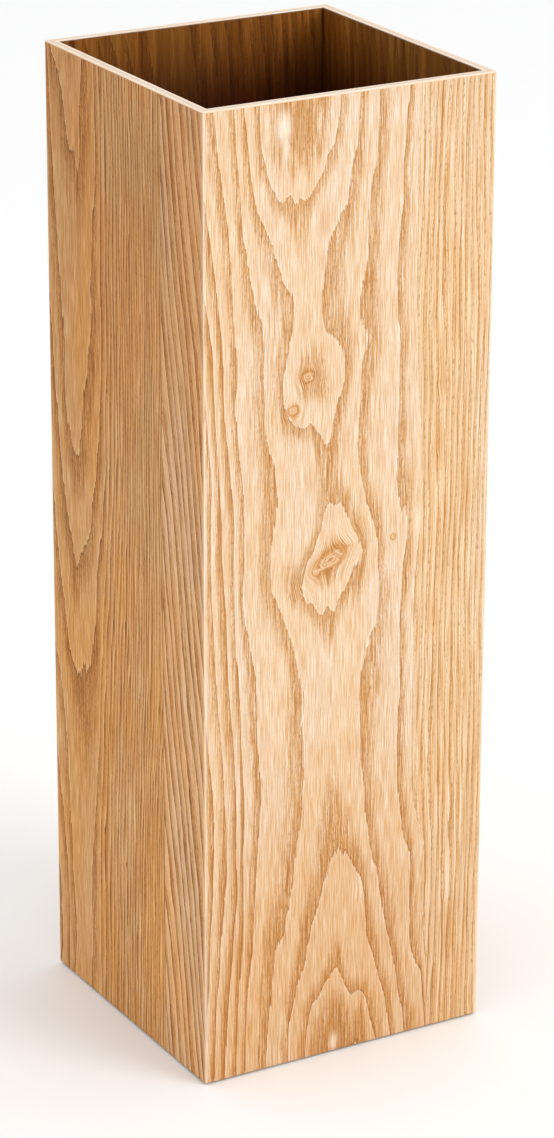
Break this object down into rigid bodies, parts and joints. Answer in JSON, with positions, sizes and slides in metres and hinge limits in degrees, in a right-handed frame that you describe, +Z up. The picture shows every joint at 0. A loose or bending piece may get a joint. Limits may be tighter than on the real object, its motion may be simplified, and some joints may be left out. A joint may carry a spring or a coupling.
{
  "type": "umbrella stand",
  "caption": "Tall square open-topped umbrella stand in pale ash veneer, with mitred walls, a pale banded rim, rubber feet and a lift-out drip tray.",
  "frame": {"origin": "centre of the square footprint, on the floor under the rubber feet", "axes": "+Z up towards the open rim; the front wall faces -Y and the left wall faces -X"},
  "size_m": [0.16, 0.16, 0.5],
  "materials": {
    "outer_veneer": "satin lacquered ash veneer",
    "inner_veneer": "satin lacquered ash veneer, darker",
    "rim_band": "satin lacquered pale edge banding",
    "core_board": "plain sanded fibreboard",
    "base_board": "plain sanded plywood",
    "corner_blocks": "plain sawn softwood",
    "feet": "matte black rubber",
    "fixings": "zinc-plated steel",
    "drip_tray": "fine-textured moulded plastic"
  },
  "bodies": {
    "stand": {"front_core": "core_board", "front_outer_veneer": "outer_veneer", "front_inner_veneer": "inner_veneer", "front_rim_band": "rim_band", "right_core": "core_board", "right_outer_veneer": "outer_veneer", "right_inner_veneer": "inner_veneer", "right_rim_band": "rim_band", "back_core": "core_board", "back_outer_veneer": "outer_veneer", "back_inner_veneer": "inner_veneer", "back_rim_band": "rim_band", "left_core": "core_board", "left_outer_veneer": "outer_veneer", "left_inner_veneer": "inner_veneer", "left_rim_band": "rim_band", "base_board": "base_board", "floor_veneer": "inner_veneer", "corner_block_front_left": "corner_blocks", "corner_block_front_right": "corner_blocks", "corner_block_back_right": "corner_blocks", "corner_block_back_left": "corner_blocks", "foot_front_left": "feet", "foot_front_right": "feet", "foot_back_right": "feet", "foot_back_left": "feet", "foot_washers": "fixings", "foot_screws": "fixings"},
    "tray": {"drip_tray": "drip_tray"}
  },
  "joints": [
    {"name": "tray_lift", "type": "slide", "parent": "stand", "child": "tray", "axis": [0, 0, 1], "range_m": [0, 0.5]}
  ]
}
